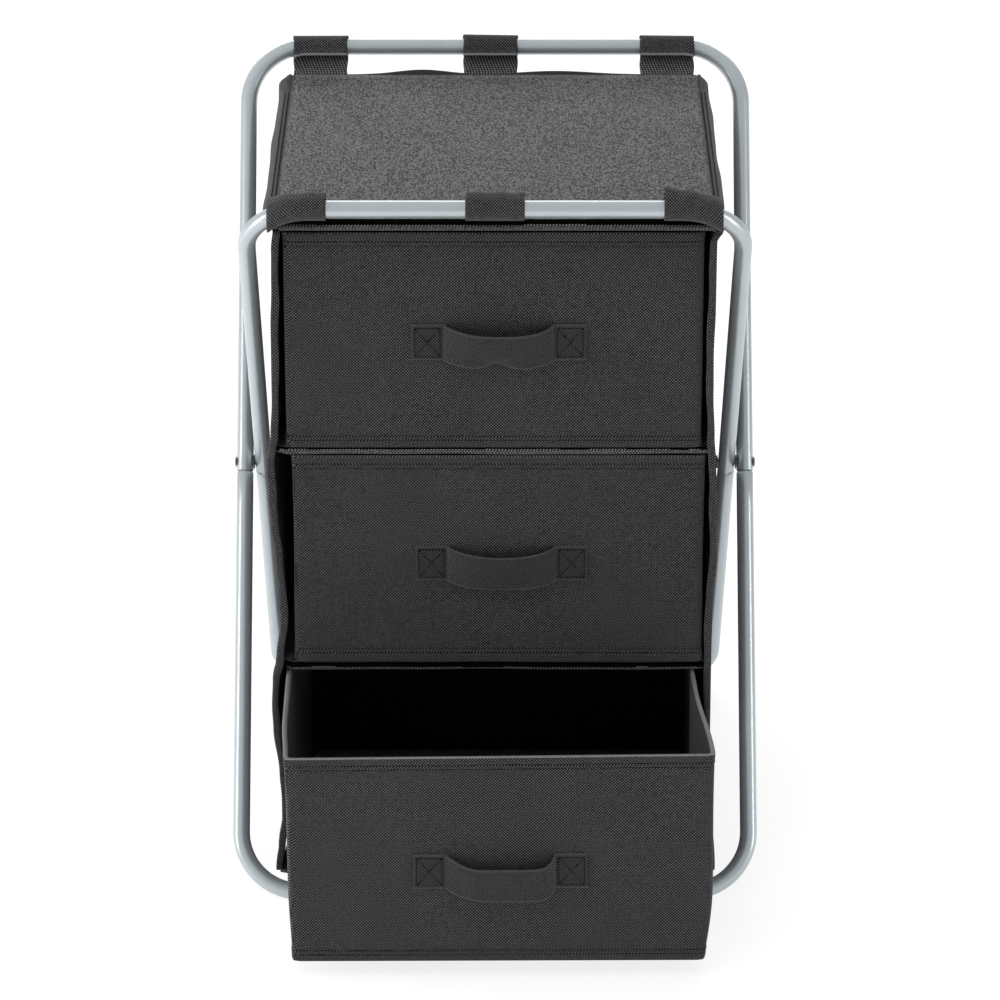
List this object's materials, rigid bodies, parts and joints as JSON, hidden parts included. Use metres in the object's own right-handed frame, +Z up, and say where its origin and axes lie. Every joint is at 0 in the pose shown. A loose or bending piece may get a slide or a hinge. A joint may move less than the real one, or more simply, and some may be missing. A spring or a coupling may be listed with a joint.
{
  "type": "drawer storage tower",
  "caption": "Folding drawer tower: a cloth organiser hung by tabs on two crossed steel tube loops, with stacked cloth drawers that slide out by webbing handles.",
  "frame": {"origin": "on the floor, under the middle of the whole part with its bottom drawer out as in the picture; the fold axis is 69.7 mm behind it", "axes": "+Z up, +Y to the rear, so the drawers face and open towards -Y; +X to the right as seen from the front"},
  "size_m": [0.4374, 0.5644, 0.6137],
  "materials": {
    "frame_tube": "smooth silver-grey powder coat, satin",
    "rivet": "dull plated steel",
    "washer": "black nylon",
    "organiser_cloth": "matt black non-woven cloth with a fine diagonal emboss",
    "top_cloth": "charcoal cloth with pale specks",
    "drawer_cloth": "matt black non-woven cloth with a fine diagonal emboss",
    "webbing": "woven black webbing, stitched",
    "board": "plain grey board"
  },
  "bodies": {
    "outer_frame": {"outer_frame_upper": "frame_tube", "outer_frame_lower": "frame_tube", "pivot_rivet_left": "rivet", "pivot_rivet_right": "rivet", "pivot_cap_left": "rivet", "pivot_cap_right": "rivet", "pivot_washer_left": "washer", "pivot_washer_right": "washer"},
    "inner_frame": {"inner_frame_upper": "frame_tube", "inner_frame_lower": "frame_tube", "front_tab_left": "organiser_cloth", "front_tab_centre": "organiser_cloth", "front_tab_right": "organiser_cloth"},
    "organiser": {"top_panel": "top_cloth", "upper_shelf": "organiser_cloth", "lower_shelf": "organiser_cloth", "floor_panel": "organiser_cloth", "top_panel_board": "board", "upper_shelf_board": "board", "lower_shelf_board": "board", "floor_panel_board": "board", "side_panel_left": "organiser_cloth", "side_panel_right": "organiser_cloth", "back_panel": "organiser_cloth", "front_binding_left": "organiser_cloth", "front_binding_right": "organiser_cloth", "top_binding_left": "organiser_cloth", "top_binding_right": "organiser_cloth", "rear_tab_left": "organiser_cloth", "rear_tab_centre": "organiser_cloth", "rear_tab_right": "organiser_cloth"},
    "drawer_top": {"drawer_top_shell": "drawer_cloth", "drawer_top_base_board": "board", "drawer_top_handle": "webbing"},
    "drawer_middle": {"drawer_middle_shell": "drawer_cloth", "drawer_middle_base_board": "board", "drawer_middle_handle": "webbing"},
    "drawer_bottom": {"drawer_bottom_shell": "drawer_cloth", "drawer_bottom_base_board": "board", "drawer_bottom_handle": "webbing"}
  },
  "joints": [
    {"name": "fold", "type": "hinge", "parent": "outer_frame", "child": "inner_frame", "pos_m": [0, 0.0697, 0.30612], "axis": [-1, 0, 0], "range_deg": [0, 65], "deforming": ["front_tab_left", "front_tab_centre", "front_tab_right"]},
    {"name": "organiser_hang", "type": "hinge", "parent": "outer_frame", "child": "organiser", "pos_m": [0, 0.2737, 0.60537], "axis": [-1, 0, 0], "range_deg": [0, 32.5]},
    {"name": "drawer_top_slide", "type": "slide", "parent": "organiser", "child": "drawer_top", "axis": [0, -1, 0], "range_m": [0, 0.36]},
    {"name": "drawer_middle_slide", "type": "slide", "parent": "organiser", "child": "drawer_middle", "axis": [0, -1, 0], "range_m": [0, 0.36]},
    {"name": "drawer_bottom_slide", "type": "slide", "parent": "organiser", "child": "drawer_bottom", "axis": [0, -1, 0], "range_m": [-0.149, 0.211]}
  ],
  "couplings": [
    {"joint": "organiser_hang", "follows": "fold", "ratio": 0.5}
  ]
}
